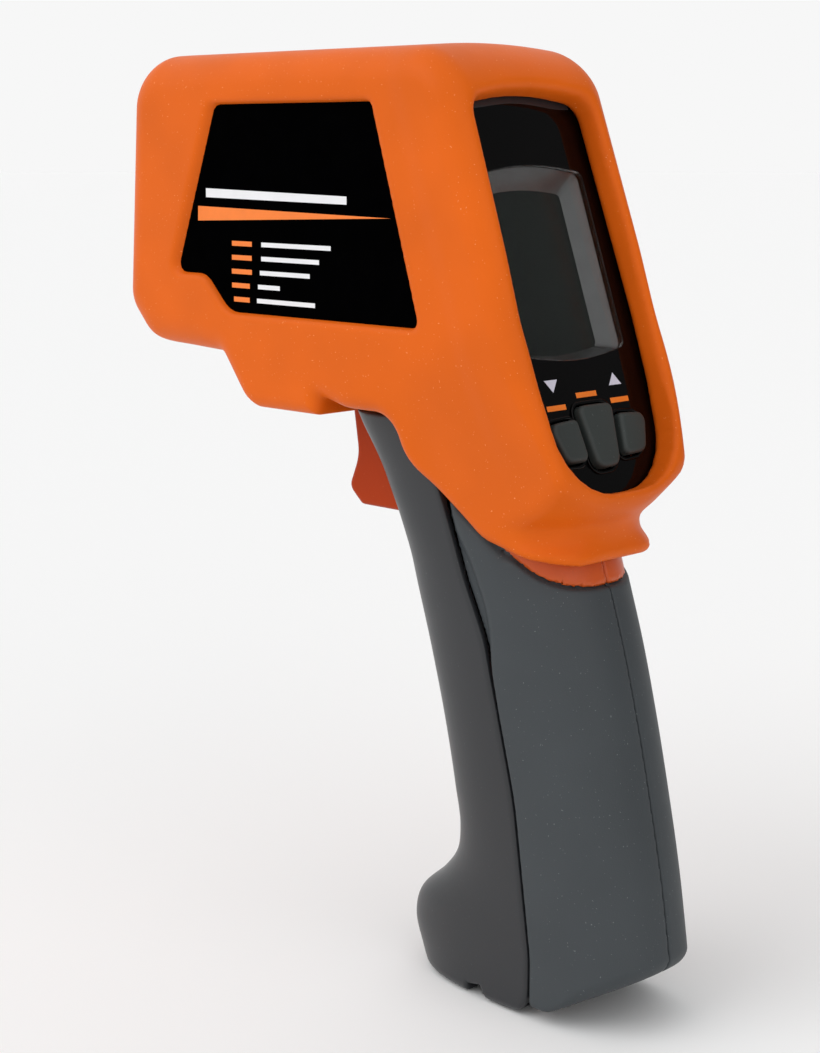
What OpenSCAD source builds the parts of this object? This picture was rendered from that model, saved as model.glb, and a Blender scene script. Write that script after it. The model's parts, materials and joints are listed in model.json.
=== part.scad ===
// Pistol-grip infrared thermometer. Millimetres, +X is the way it aims, +Z is up, +Y is its left.
// The outlines are drawn from the trigger's upright; placed() then puts the origin on the ground,
// under the middle of the whole instrument.

/* [Head] */
// Width across the rubber boot
head_w = 50; // [48:0.5:56]
// Height of the top of the boot
top_z = 202.4; // [200:0.1:210]
// Lean of the display face from upright, in degrees
face_tilt = 19.5; // [19:0.5:20]
// Thickness of the rubber boot
boot_t = 2.6; // [2.2:0.1:2.8]
// Depth of the display below the boot's rim
lens_depth = 5.7; // [5.4:0.1:6]

/* [Handle] */
// Width across the handle
handle_w = 34; // [33:0.5:36]
// Lean of the handle from upright, in degrees
handle_tilt = 15; // [14:0.5:16]
// Thickness of the soft grips over the shells
grip_t = 2; // [1.6:0.1:2.2]
// Thickness of the battery door's wall
door_t = 1.9; // [1.6:0.1:2]

/* [Shells] */
// Wall of the two shells
wall = 2.2; // [1.8:0.1:2.4]

/* [Optics] */
// Height of the sensor's line of sight
sight_z = 174; // [172:0.5:175]
// Radius of the open sight in front of the lens
sight_r = 10; // [9:0.1:10]
// Height of the aiming laser
laser_z = 149.5; // [149:0.5:150]

/* [Moving parts] */
// Radius of the trigger's and the door's pins
pin_r = 1.5; // [1.2:0.1:1.6]
// Radial clearance of each running fit
fit = 0.05; // [0.02:0.01:0.08]
// Stand-off of the keys above the display lens
key_h = 2.2; // [1.5:0.1:2.6]

/* [Hidden] */

$fn = 48;
arc_steps = 6;
gap = 0.05;              // between pieces that lie against each other
lens_seat_r = sight_r - 0.3;
neck_out = 5.2;          // of the boot's lip from the handle
centre_x = -2;           // moves the drawing's upright to the middle of the bounding box
half_w = head_w / 2;
handle_half = handle_w / 2;
shell_in = boot_t + wall;          // from the boot's surface to the inside of the head
handle_in = grip_t + wall;         // from the grip's surface to the inside of the handle
trigger_pivot = [4, 135];
door_pivot = [-41.3, 6.2];
trigger_half = 7;
ear_y = 8;               // the hinge's ears, from the middle
slot_half = 7.7;
battery_tilt = 13;
battery_size = [17, 26, 46.4];
screw_r = 1.4;
head_seat = 17;          // how far the screws' heads sit from the middle
handle_seat = 8;

ORANGE = "#E8702A";
SHELL_ORANGE = "#C9581A";
CHARCOAL = "#404245";
GRIP_GREY = "#434848";
KEY_GREY = "#3A3F3D";
BLACK = "#141516";

// ---- Outlines: corners are [x, y, radius] ----

function unit(v) = v / norm(v);
function cross2(a, b) = a.x * b.y - a.y * b.x;
function flat(lists) = [for (l = lists) for (p = l) p];

// The arc that rounds corner q between its neighbours p and s
function corner_arc(p, q, s) =
    let (
        here = [q.x, q.y],
        a = unit([p.x, p.y] - here),
        b = unit([s.x, s.y] - here),
        half = acos(a * b) / 2,
        turn = 180 - 2 * half,
        middle = here + unit(a + b) * q.z / sin(half),
        from = here + a * q.z / tan(half) - middle,
        to = here + b * q.z / tan(half) - middle
    )
    q.z == 0 ? [here] : [
        for (k = [0:arc_steps])
            middle + (sin((1 - k / arc_steps) * turn) * from + sin(k / arc_steps * turn) * to) / sin(turn)
    ];

function rounded(c) =
    let (n = len(c))
    flat([for (i = [0:n - 1]) corner_arc(c[(i + n - 1) % n], c[i], c[(i + 1) % n])]);

function backwards(c) = [for (i = [len(c) - 1:-1:0]) c[i]];
function twice_area(c) = let (n = len(c)) [for (i = [0:n - 1]) cross2(c[i], c[(i + 1) % n])] * [for (i = c) 1];

// The same outline moved inwards by d; a negative d moves it outwards
function inset(corners, d) =
    let (
        c = twice_area(corners) > 0 ? corners : backwards(corners),
        n = len(c)
    ) [
        for (i = [0:n - 1])
            let (
                p = c[(i + n - 1) % n],
                q = c[i],
                s = c[(i + 1) % n],
                e = unit([q.x - p.x, q.y - p.y]),
                f = unit([s.x - q.x, s.y - q.y]),
                m = [-e.y - f.y, e.x + f.x] / (1 + e * f),
                r = cross2(e, f) > 0 ? q.z - d : q.z + d
            )
            [q.x + d * m.x, q.y + d * m.y, q.z == 0 ? 0 : max(r, 0.3)]
    ];

// An outline that is the same on both sides of y = 0, from its lower half (y < 0) read upwards in x
function both_sides(c) = concat(c, [for (p = backwards(c)) if (p.y != 0) [p.x, -p.y, p.z]]);

// The head from the side, as x and z
HEAD_SIDE = [
    [-57.6, 97.6, 1.2], [-35, 100.8, 10], [-18, 118.5, 12], [-14.3, 125.8, 3], [1, 126.2, 8],
    [8.8, 127.9, 0.8], [9.5, 123.8, 0.8], [32, 123.8, 8], [42.5, 135.2, 4], [69, 136, 10],
    [78.2, 144.5, 9], [73.5, top_z, 12], [-27.8, top_z, 7], [-61.6, 107, 7], [-54.8, 103.2, 3]
];
// The head from behind, as y and z
HEAD_END = [
    [20.3, 97.5, 1], [19.2, 103.5, 5], [half_w, 128, 26], [half_w, top_z - 1.8, 7], [0, top_z + 0.4, 90],
    [-half_w, top_z - 1.8, 7], [-half_w, 128, 26], [-19.2, 103.5, 5], [-20.3, 97.5, 1]
];
// The head from above, as x and y
HEAD_PLAN = both_sides([[-80, -half_w, 0], [78.2, -half_w, 8]]);
// The back corners of the head, across the display face, as y and height
HEAD_BACK = [[-half_w, -150, 0], [half_w, -150, 0], [half_w, 0, 7], [-half_w, 0, 7]];

// The display opening in the boot, in the face's frame: x up the slope, y to the left
OPENING = both_sides([[3.9, 0, 70], [0.6, -18.2, 4.5], [-45, -19.7, 60], [-82, -18.9, 15]]);
WINDOW = both_sides([[-10.8, 0, 70], [-13.4, -15.8, 2], [-51.5, -15.9, 2], [-54, 0, 60]]);
GLASS_WINDOW = both_sides([[-16.4, 0, 60], [-18, -11.2, 1], [-49.4, -11.2, 1], [-51, 0, 60]]);
KEY_MODE = both_sides([[-63, -5.4, 1.6], [-76.3, -3.5, 2.6]]);
KEY_RIGHT = [[-65.5, -6.7, 1.2], [-74.5, -5.6, 1.6], [-74.3, -12.4, 2.4], [-66, -15.3, 2]];

// The label's window in the side of the boot, as x and z
LABEL = [
    [-22.8, 144.1, 3], [38.5, 144.1, 6], [46.7, 152.3, 5], [59, 152.3, 2.5], [44.1, 191, 3.5],
    [-8.6, 191, 3.5]
];

// The battery door from the side, as x and z
DOOR_SIDE = [
    [-47.5, 0, 6.2], [-11.8, 0, 4], [-7.2, 13.6, 5], [-21.6, 28, 8], [-20.2, 40, 30],
    [-2.6, 101, 14], [11.4, 120.6, 1.2], [7.4, 124.9, 2], [-14, 124.7, 2.5], [-17.2, 118, 10],
    [-23.6, 110.2, 1.5], [-30.2, 94, 60], [-42.8, 47, 80], [-47.5, 14, 30]
];
// The back of the handle from the side, moved in by d at the back and the bottom only
function handle_side(d) = [
    [-47.9, 3 + d, 1.2], [-47.9, 14, 30], [-43.2, 47, 80], [-30.6, 94, 60], [-24.8, 108, 0],
    [-51.5 + d, 108, 0], [-63.3 + d, 64, 150], [-74 + d, 12.6 + d, 5], [-54, 3 + d, 7]
];
// What the grips cover, with the curved top edge and the finger scallop
GRIP_SIDE = [
    [-47.9, 3, 1.2], [-54, 3, 7], [-80, 14.4, 0], [-70, 94, 0], [-52, 94.6, 20], [-36, 98, 6],
    [-29.2, 98.6, 1], [-32.4, 89.5, 12], [-36.6, 80, 6], [-36.4, 75.5, 3], [-43.2, 47, 80],
    [-47.9, 14, 30]
];
// The handle across its lean: fuller in front than behind. fullness squares its front corners
function handle_section(d, fullness = 3) = [
    for (t = [0:7.5:352.5])
        let (
            front = cos(t) > 0,
            a = (front ? 24.4 : 23.4) - d,
            p = 2 / (front ? fullness : 2.3)
        )
        [a * sign(cos(t)) * pow(abs(cos(t)), p), (handle_half - d) * sign(sin(t)) * pow(abs(sin(t)), p)]
];

TRIGGER_SIDE = [
    [-3.5, 101.7, 1.5], [13, 101.7, 1.2], [17.2, 105.4, 2.4], [14, 113, 9], [15.8, 124.5, 4],
    [12.6, 133.5, 3], [9.2, 140, 4], [-1, 140, 2], [-19, 137.4, 0.6], [-19, 133.4, 1.5],
    [-3.2, 131.4, 3]
];

// The opening in the front of the nose, as y and z
BEZEL = [[-17, 141, 7], [17, 141, 7], [17, 192.5, 12], [-17, 192.5, 12]];

HEAD_SCREWS = [[24, 194], [28, 132.5], [-24, 130]];
HANDLE_SCREWS = [[-46.5, 87], [-58, 36]];

// ---- Placing ----

module placed() translate([centre_x, 0, 0]) children();

module side_slab(c, y0, y1) translate([0, y1, 0]) rotate([90, 0, 0]) linear_extrude(y1 - y0)
    polygon(rounded(c));

module mid_slab(c, half) side_slab(c, -half, half);

module end_slab(c, x0, x1) translate([x0, 0, 0]) rotate([90, 0, 90]) linear_extrude(x1 - x0)
    polygon(rounded(c));

module plan_slab(c, z0, z1) translate([0, 0, z0]) linear_extrude(z1 - z0) polygon(rounded(c));

// The display face's frame: x up the slope, y left, z outwards, zero at the rim's top edge
module on_face() translate([-32, 0, 190.5]) rotate([0, face_tilt - 90, 0]) children();

module face_plate(c, z0, z1) on_face() plan_slab(c, z0, z1);

// The handle's frame: z along its lean
module in_handle() translate([-42, 0, 50]) rotate([0, handle_tilt, 0]) children();

// The battery's frame: zero at the middle of its lower back edge
module in_battery() translate([-45.2, 0, 32]) rotate([0, battery_tilt, 0]) children();

module rod_x(x0, x1, z, r) translate([x0, 0, z]) rotate([0, 90, 0]) cylinder(h = x1 - x0, r = r);

module rod_y(p, y0, y1, r) translate([p.x, y1, p.y]) rotate([90, 0, 0]) cylinder(h = y1 - y0, r = r);

module block(low, high) translate(low) cube(high - low);

// Keeps one side of the middle plane: side 1 is the left, side -1 the right
module half_of(side, space = gap) intersection() {
    children();
    translate([-100, side > 0 ? space : -100 - space, -10]) cube([200, 100, 230]);
}

// ---- Outer forms ----

// The head narrows to a collar round the handle
module neck_form(d) {
    handle_prism(d - neck_out);
    in_handle() translate([0, 0, 50]) linear_extrude(24, scale = 1.75) polygon(handle_section(d - neck_out));
    block([-80, -half_w, 124], [80, half_w, 210]);
    block([-20, -half_w, 90], [80, half_w, 210]);
}

module head_form(d) intersection() {
    neck_form(d);
    mid_slab(inset(HEAD_SIDE, d), half_w);
    end_slab(inset(HEAD_END, d), -80, 80);
    plan_slab(inset(HEAD_PLAN, d), 90, 210);
    on_face() translate([-130, 0, 0]) end_slab(inset(HEAD_BACK, d), 0, 190);
}

module handle_prism(d, fullness = 3) in_handle() translate([0, 0, -75]) linear_extrude(140)
    polygon(handle_section(d, fullness));

module handle_form(d) intersection() {
    handle_prism(d);
    mid_slab(handle_side(d), handle_half);
}

// The front of the handle: the leaning prism, a wide foot below it and cheeks beside the trigger
module door_form(d, fullness = 3) intersection() {
    mid_slab(inset(DOOR_SIDE, d), handle_half - d);
    union() {
        handle_prism(d, fullness);
        plan_slab(both_sides([[-70, d - handle_half, 0], [-6.6 - d, d - handle_half, 13 - d]]), 0, 30);
        block([-40, d - handle_half, 94], [20, handle_half - d, 130]);
    }
}

module wire_way() block([-27.5, -2.5, 100], [-20.5, 5.5, 126]);

module screw_holes(points, seat, tip)
    for (p = points) {
        rod_y(p, -seat - 1, tip, screw_r + gap);
        rod_y(p, -half_w, -seat, 2.9);
    }

module screw_bosses(points, reach)
    for (p = points) rod_y(p, -reach, reach, 4.2);

// Both shells before they are split
module shell_pair() difference() {
    union() {
        difference() {
            union() {
                head_form(boot_t + gap);
                handle_form(grip_t + gap);
                // the band that shows between the grips and the door
                difference() {
                    handle_form(0.5);
                    mid_slab(inset(GRIP_SIDE, -0.25), handle_half);
                }
            }
            difference() {
                head_form(shell_in);
                // the ribs that clamp the barrel and the laser, and the shelf over the switch
                block([50, -half_w, 140], [52, half_w, 190]);
                block([-22, -half_w, 149], [2, half_w, 150.6]);
            }
            intersection() {
                handle_prism(handle_in);
                mid_slab(inset(handle_side(grip_t), wall), handle_half);
            }
        }
        intersection() {
            head_form(boot_t + gap);
            // collar and ledge round the display, the trigger's bearings, the screw bosses
            union() {
                face_plate(inset(OPENING, -3.4), -9.4, -boot_t);
                rod_y(trigger_pivot, -half_w, half_w, 4.4);
                screw_bosses(HEAD_SCREWS, half_w);
            }
        }
        intersection() {
            handle_form(grip_t + gap);
            screw_bosses(HANDLE_SCREWS, handle_half);
        }
        // the shelf under the battery, the hinge's ears
        in_battery() block([-3, -12.5, -2], [14, 12.5, -0.2]);
        intersection() {
            union() {
                mid_slab([[-49.6, 7.6, 0], [-44, 6.8, 0], [-38.2, 7.9, 0], [-43, 17.5, 2], [-49.6, 17.5, 0]], 10);
                rod_y(door_pivot, -10, 10, 3.7);
            }
            for (s = [-1, 1]) block([-52, s * ear_y - 2, 0], [-36, s * ear_y + 2, 20]);
        }
    }
    // the display's seat, and the way through behind it
    face_plate(inset(OPENING, -1.5), -7.4, 10);
    face_plate(inset(OPENING, 1.5), -12, 0);
    // the front opening
    end_slab(BEZEL, 60, 90);
    // the trigger's slot and the room round its hub
    block([-7, -slot_half, 95], [17.6, slot_half, 131.5]);
    block([-20, -slot_half, 128], [17.6, slot_half, 142]);
    rod_y(trigger_pivot, -13, 13, pin_r + gap);
    rod_x(-30, 60, sight_z, 9.6);
    rod_x(35, 70, laser_z, 4.6);
    // the wires' way from the battery to the head, and the hinge pin's hole
    wire_way();
    rod_y(door_pivot, -12, 12, pin_r + fit);
    screw_holes(HEAD_SCREWS, head_seat, 10);
    screw_holes(HANDLE_SCREWS, handle_seat, 7);
}

// ---- The outside ----

module head_boot() color(ORANGE) placed() difference() {
    head_form(0);
    head_form(boot_t);
    handle_prism(-0.3);
    face_plate(OPENING, -8, 10);
    end_slab(BEZEL, 60, 90);
    for (s = [-1, 1]) side_slab(LABEL, s > 0 ? 15 : -half_w - 1, s > 0 ? half_w + 1 : -15);
    block([-7, -slot_half, 95], [17.6, slot_half, 135]);
    wire_way();
    // nothing of the boot lies over the door's top
    block([-22, -handle_half - 0.6, 90], [9, handle_half + 0.6, 125.6]);
}

module left_shell() color(SHELL_ORANGE) placed() half_of(1) shell_pair();

module right_shell() color(SHELL_ORANGE) placed() half_of(-1) shell_pair();

module grip_pair() difference() {
    intersection() {
        handle_form(0);
        mid_slab(GRIP_SIDE, handle_half);
    }
    handle_form(grip_t);
    mid_slab([[-49.6, -1, 0], [-20, -1, 0], [-20, 110, 0], [-24, 110, 0], [-32.2, 94, 60], [-44.9, 47, 80],
        [-49.6, 14, 30]], handle_half - grip_t);
    screw_holes(HANDLE_SCREWS, handle_seat, 0);
}

module left_grip() color(GRIP_GREY) placed() half_of(1, 0.1) grip_pair();

module right_grip() color(GRIP_GREY) placed() half_of(-1, 0.1) grip_pair();

module battery_door() color(CHARCOAL) placed() difference() {
    union() {
        difference() {
            door_form(0);
            // hollow, open at the back, with closed cheeks beside the trigger
            difference() {
                union() {
                    door_form(door_t, 4);
                    mid_slab([[-60, 5, 0], [-41, 5, 0], [-37, 47, 80], [-26, 92, 60], [-18, 109, 0],
                        [-60, 109, 0]], handle_half - door_t);
                }
                block([-60, slot_half, 101], [20, slot_half + 1.6, 130]);
                block([-60, -slot_half - 1.6, 101], [20, -slot_half, 130]);
            }
        }
        intersection() {
            door_form(0);
            for (s = [-1, 1]) rod_y(door_pivot, s * 13.4 - 1.7, s * 13.4 + 1.7, 4.4);
        }
    }
    block([-27, -slot_half, 100.6], [20, slot_half, 130]);
    rod_y(door_pivot, -15.2, 15.2, pin_r + fit);
    // room for the shells' ears as the door swings
    for (s = [-1, 1]) block([-50, s * ear_y - 2.4, -1], [-43.6, s * ear_y + 2.4, 12]);
    // the finger notch under the foot
    mid_slab([[-36, -1, 0], [-27, -1, 0], [-28.5, 1.4, 1], [-34.5, 1.4, 1]], 20);
}

module door_hinge_pin() color("silver") placed() rod_y(door_pivot, -14.9, 14.9, pin_r);

module battery_pad() color("dimgray") placed() intersection() {
    in_battery() block([18, -8, 12], [26, 8, 38]);
    door_form(door_t + gap);
}

module label(side) placed() intersection() {
    side_slab(inset(LABEL, 0.3), side > 0 ? half_w - boot_t : -half_w + boot_t - 0.7,
        side > 0 ? half_w - boot_t + 0.7 : -half_w + boot_t);
    head_form(0);
}

module left_label() color(BLACK) label(1);

module right_label() color(BLACK) label(-1);

// ---- The trigger and its switch ----

module trigger() color("#BB4718") placed() difference() {
    union() {
        mid_slab(TRIGGER_SIDE, trigger_half);
        rod_y(trigger_pivot, -trigger_half, trigger_half, 4.6);
    }
    rod_y(trigger_pivot, -10, 10, pin_r + fit);
    // the arm at the back is narrower than the blade
    for (s = [-1, 1]) block([-20, s > 0 ? 4.5 : -8, 128], [-4, s > 0 ? 8 : -4.5, 145]);
    block([-20, -8, 137.4], [-1.6, 8, 145]);
}

module trigger_pin() color("silver") placed() rod_y(trigger_pivot, -12.8, 12.8, pin_r);

// A wire swept along points, with s sides; it never runs along the direction across
module wire(points, r, s = 8, across = [0, 1, 0]) {
    n = len(points);
    rings = [
        for (i = [0:n - 1])
            let (
                t = unit(points[min(i + 1, n - 1)] - points[max(i - 1, 0)]),
                side = unit(cross(t, across)),
                up = cross(side, t)
            )
            [for (k = [0:s - 1]) points[i] + r * (cos(k * 360 / s) * side + sin(k * 360 / s) * up)]
    ];
    polyhedron(
        points = flat(rings),
        faces = concat(
            [[for (k = [0:s - 1]) k]],
            flat([for (i = [0:n - 2]) [for (k = [0:s - 1]) [i * s + k, (i + 1) * s + k,
                (i + 1) * s + (k + 1) % s]]]),
            flat([for (i = [0:n - 2]) [for (k = [0:s - 1]) [i * s + k, (i + 1) * s + (k + 1) % s,
                i * s + (k + 1) % s]]]),
            [[for (k = [s - 1:-1:0]) (n - 1) * s + k]]
        )
    );
}

module trigger_spring() color("silver") placed() {
    turns = 5;
    steps = 12 * turns;
    low = 137.8;
    high = 148.5;
    wire([for (i = [0:steps]) [-16 + 2.2 * cos(30 * i), 2.2 * sin(30 * i), low + (high - low) * i / steps]],
        0.35, 6, [0, 0, 1]);
}

module switch_body() color(BLACK) placed() difference() {
    block([-12, -3.2, 140.4], [-2.6, 3.2, 148.9]);
    translate([-6, 0, 140]) cylinder(h = 5.8, r = 1.3);
}

module switch_plunger() color("ivory") placed() translate([-6, 0, 137.7]) cylinder(h = 5.6, r = 1.25);

// ---- The display and the keys ----

module key_holes(grow) {
    face_plate(inset(KEY_MODE, -grow), -20, 5);
    face_plate(inset(KEY_RIGHT, -grow), -20, 5);
    mirror([0, 1, 0]) face_plate(inset(KEY_RIGHT, -grow), -20, 5);
}

module display_lens() color(BLACK) placed() difference() {
    face_plate(inset(OPENING, -1.4), -7.3, -lens_depth);
    key_holes(0.4);
}

// The frame that holds the display, with walls that slope from the lens down to the glass
module lcd_bezel() color("dimgray") placed() difference() {
    union() {
        face_plate([[-57, -17.4, 1], [-5.5, -16.3, 3], [-5.5, 16.3, 3], [-57, 17.4, 1]], -11.6, -7.4);
        face_plate([[-57, -18.6, 1], [-5.5, -18.2, 3], [-5.5, 18.2, 3], [-57, 18.6, 1]], -11.6, -9.6);
    }
    hull() {
        face_plate(WINDOW, -7.42, -7);
        face_plate(GLASS_WINDOW, -10.5, -10.4);
    }
    face_plate([[-54.6, -14.4, 0], [-14.4, -14.4, 0], [-14.4, 14.4, 0], [-54.6, 14.4, 0]], -12, -10.42);
}

module lcd_panel() color("darkslategray") placed() on_face() block([-54, -14, -13.2], [-15, 14, -10.5]);

module lcd_backlight() color("white") placed() on_face() block([-49, -14, -15.7], [-17, 14, -13.3]);

module contact_strip() color("hotpink") placed() on_face() block([-53.6, -13, -15.7], [-51.4, 13, -13.3]);

module key(outline) face_plate(outline, -14, key_h - lens_depth);

module key_mode() color(KEY_GREY) placed() key(KEY_MODE);

module key_right() color(KEY_GREY) placed() key(KEY_RIGHT);

module key_left() color(KEY_GREY) placed() mirror([0, 1, 0]) key(KEY_RIGHT);

module keypad_mat() color("gray") placed() on_face() block([-78, -15.5, -15.75], [-61.5, 15.5, -14.9]);

module main_board() color("darkgreen") placed() face_plate(
    [[-78.5, -15.8, 2], [-8, -15.8, 2], [-8, 15.8, 2], [-78.5, 15.8, 2]], -17.4, -15.8);

module board_parts() color(BLACK) placed() on_face() {
    block([-44, -14.5, -19], [-34, -6, -17.45]);
    block([-60, -10, -18.9], [-55, -5, -17.45]);
    block([-24, 4, -19.4], [-18, 12, -17.45]);
    block([-70, 2, -21.4], [-62, 10, -17.45]);
}

module buzzer() color(BLACK) placed() on_face() translate([-22, -6, -21.5]) difference() {
    cylinder(h = 4, r = 6);
    translate([0, 0, -1]) cylinder(h = 2, r = 1);
}

// ---- The optics ----

module front_bezel() color(BLACK) placed() difference() {
    union() {
        end_slab(inset(BEZEL, 0.15), 69.6, 73.4);
        intersection() {
            end_slab(inset(BEZEL, -1.6), 66.4, 68.8);
            head_form(shell_in + 0.3);
        }
        end_slab(inset(BEZEL, 2), 66.4, 70);
    }
    rod_x(60, 80, sight_z, sight_r + 2.1);
    rod_x(60, 80, laser_z, 3);
    rod_x(72, 80, laser_z, 4.1);
}

// A tube that is open in front of the lens and narrows to the sensor behind it
module lens_barrel() color(BLACK) placed() difference() {
    union() {
        rod_x(40, 60, sight_z, 9.5);
        rod_x(56, 73.2, sight_z, sight_r + 2);
    }
    // the open bore, a groove at its inner end and the lens's seat
    rod_x(63, 80, sight_z, sight_r);
    rod_x(62.5, 63.1, sight_z, sight_r + 0.4);
    rod_x(58.2, 62.6, sight_z, lens_seat_r);
    rod_x(46.5, 60, sight_z, 8.4);
    rod_x(30, 50, sight_z, 4.7);
}

// Flat behind, domed in front
module ir_lens() color("slategray") placed() translate([58.3, 0, sight_z]) rotate([0, 90, 0]) intersection() {
    cylinder(h = 3, r = lens_seat_r - 0.1);
    translate([0, 0, -31.6]) sphere(r = 34.4, $fn = 96);
}

module lens_ring() color("dimgray") placed() difference() {
    rod_x(61.2, 62.4, sight_z, lens_seat_r - 0.1);
    rod_x(60, 64, sight_z, lens_seat_r - 1.2);
}

module sensor_can() color("silver") placed() {
    difference() {
        union() {
            rod_x(40.6, 45.4, sight_z, 4.1);
            rod_x(40.2, 41, sight_z, 4.6);
        }
        rod_x(45, 46, sight_z, 1.6);
    }
    for (a = [45:90:315]) translate([0, 2.4 * cos(a), 2.4 * sin(a)]) rod_x(36, 40.2, sight_z, 0.25);
}

module sensor_board() color("darkgreen") placed() difference() {
    block([38, -12, sight_z - 12], [39.6, 12, sight_z + 12]);
    for (a = [45:90:315]) translate([0, 2.4 * cos(a), 2.4 * sin(a)]) rod_x(36, 42, sight_z, 0.4);
}

// A flat cable from the sensor board back to the main board
module sensor_ribbon() color("gainsboro") placed() mid_slab([
    [37.2, 163.2, 0], [37.9, 163.2, 0], [37.9, 167, 0.3], [36.6, 167, 1.5], [28, 158, 6],
    [-6, 158, 6], [-26.6, 152.7, 0], [-26.4, 152, 0], [-6, 157.4, 6], [28, 157.4, 6], [36.4, 165.8, 1]
], 5);

module laser_module() color("goldenrod") placed() {
    rod_x(42, 64, laser_z, 4.5);
    rod_x(64, 66, laser_z, 2.6);
}

module laser_window() color("lightcyan") placed() rod_x(72.1, 73.2, laser_z, 4);

// ---- Power and fasteners ----

module terminals(z, h, r)
    for (s = [-1, 1]) translate([battery_size.x / 2, s * 6.3, z]) cylinder(h = h, r = r);

module battery() color("#2B2D30") placed() in_battery() {
    translate([0, -battery_size.y / 2, 0]) cube(battery_size);
    terminals(battery_size.z, 2.4, 2.9);
}

module battery_snap() color(BLACK) placed() in_battery() difference() {
    block([1.8, -12.4, battery_size.z + 0.2], [15.6, 12.4, battery_size.z + 5]);
    terminals(battery_size.z - 1, 3.6, 3);
}

LEAD = [[-25.4, 3, 82], [-25.2, 3, 86], [-25, 3, 93], [-24.8, 3, 101], [-24.4, 3, 110], [-24.4, 3, 117],
    [-28, 3, 123.5], [-32.2, 3, 127]];

module lead(y) placed() translate([0, y, 0]) wire(LEAD, 0.7);

module lead_red() color("red") lead(0);

module lead_black() color(BLACK) lead(-2.4);

module screws(points, seat, tip) for (p = points) {
    rod_y(p, -seat, tip, screw_r);
    difference() {
        rod_y(p, -seat - 2, -seat, 2.7);
        translate([p.x, -seat - 1.2, p.y]) rotate([90, 0, 0]) cylinder(h = 2, r = 1.2, $fn = 6);
    }
}

module head_screws() color("silver") placed() screws(HEAD_SCREWS, head_seat, 9.5);

module handle_screws() color("silver") placed() screws(HANDLE_SCREWS, handle_seat, 6.5);

head_boot();
left_shell();
right_shell();
left_grip();
right_grip();
battery_door();
door_hinge_pin();
battery_pad();
trigger();
trigger_pin();
trigger_spring();
switch_body();
switch_plunger();
left_label();
right_label();
display_lens();
lcd_bezel();
lcd_panel();
lcd_backlight();
contact_strip();
key_left();
key_mode();
key_right();
keypad_mat();
main_board();
board_parts();
buzzer();
front_bezel();
lens_barrel();
ir_lens();
lens_ring();
sensor_can();
sensor_board();
sensor_ribbon();
laser_module();
laser_window();
battery();
battery_snap();
lead_red();
lead_black();
head_screws();
handle_screws();
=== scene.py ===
"""Looks of a pistol-grip infrared thermometer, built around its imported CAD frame.

The soft shells are drawn as distance fields in millimetres, in the same drawing frame as the CAD
outlines (x forward from the trigger's upright, y to the left, z up), and turned into meshes.
"""
import json
import math

import bpy
import numpy as np
from mathutils import Matrix, Vector


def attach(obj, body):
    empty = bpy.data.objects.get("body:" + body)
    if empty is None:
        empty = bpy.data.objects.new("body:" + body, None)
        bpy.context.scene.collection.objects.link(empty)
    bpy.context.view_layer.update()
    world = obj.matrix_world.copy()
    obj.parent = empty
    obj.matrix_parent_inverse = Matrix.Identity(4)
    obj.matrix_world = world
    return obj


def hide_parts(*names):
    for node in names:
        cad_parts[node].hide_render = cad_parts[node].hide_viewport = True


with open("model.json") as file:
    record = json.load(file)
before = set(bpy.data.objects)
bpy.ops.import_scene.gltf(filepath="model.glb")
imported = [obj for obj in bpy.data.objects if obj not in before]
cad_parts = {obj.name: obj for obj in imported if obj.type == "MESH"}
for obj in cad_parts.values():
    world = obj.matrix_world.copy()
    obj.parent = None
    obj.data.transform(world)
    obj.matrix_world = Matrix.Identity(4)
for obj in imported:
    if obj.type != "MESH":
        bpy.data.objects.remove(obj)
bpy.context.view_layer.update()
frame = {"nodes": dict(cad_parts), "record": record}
MM = 0.001

# ---------------------------------------------------------------- places, from the frame

JOINTS = {joint["name"]: joint for joint in frame["record"]["behaviour"]["joints"]}
TRIGGER_PIVOT = (4.0, 135.0)
SHIFT_X = JOINTS["trigger_pull"]["pos_m"][0] / MM - TRIGGER_PIVOT[0]
DOOR_PIVOT = (JOINTS["battery_door_hinge"]["pos_m"][0] / MM - SHIFT_X,
              JOINTS["battery_door_hinge"]["pos_m"][2] / MM)

TILT = math.radians(19.5)
UP_SLOPE = (math.sin(TILT), math.cos(TILT))
OUTWARD = (-math.cos(TILT), math.sin(TILT))
FACE = (-32.0, 190.5)

HALF_W = 25.0
TOP_Z = 202.4
BOOT_T = 2.6
LENS_DEPTH = 5.7
LENS_T = 1.6
HANDLE_HALF = 17.0
GRIP_T = 2.0
DOOR_T = 1.9
SLOT_HALF = 7.7
PIN_HOLE = 1.6
PIVOT_HALF = 11.7
TRIGGER_HALF = 7
HUB_R = 4.6
CHEEK_R = 4.4
SPIGOT_R = 3.7


# ---------------------------------------------------------------- outlines

def corner_arc(before, here, after, steps=6):
    """The points that round corner here = (x, y, radius)."""
    q = np.array(here[:2], float)
    if here[2] == 0:
        return [q]
    a = np.array(before[:2], float) - q
    b = np.array(after[:2], float) - q
    a /= np.linalg.norm(a)
    b /= np.linalg.norm(b)
    half = math.acos(max(-1.0, min(1.0, float(a @ b)))) / 2
    turn = math.pi - 2 * half
    if turn < 1e-3:
        return [q]
    middle = q + (a + b) / np.linalg.norm(a + b) * here[2] / math.sin(half)
    start = q + a * here[2] / math.tan(half) - middle
    end = q + b * here[2] / math.tan(half) - middle
    return [middle + (math.sin((1 - k / steps) * turn) * start
                      + math.sin(k / steps * turn) * end) / math.sin(turn)
            for k in range(steps + 1)]


def rounded(corners, steps=6):
    n = len(corners)
    points = []
    for i in range(n):
        points += corner_arc(corners[i - 1], corners[i], corners[(i + 1) % n], steps)
    return np.array(points)


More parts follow.
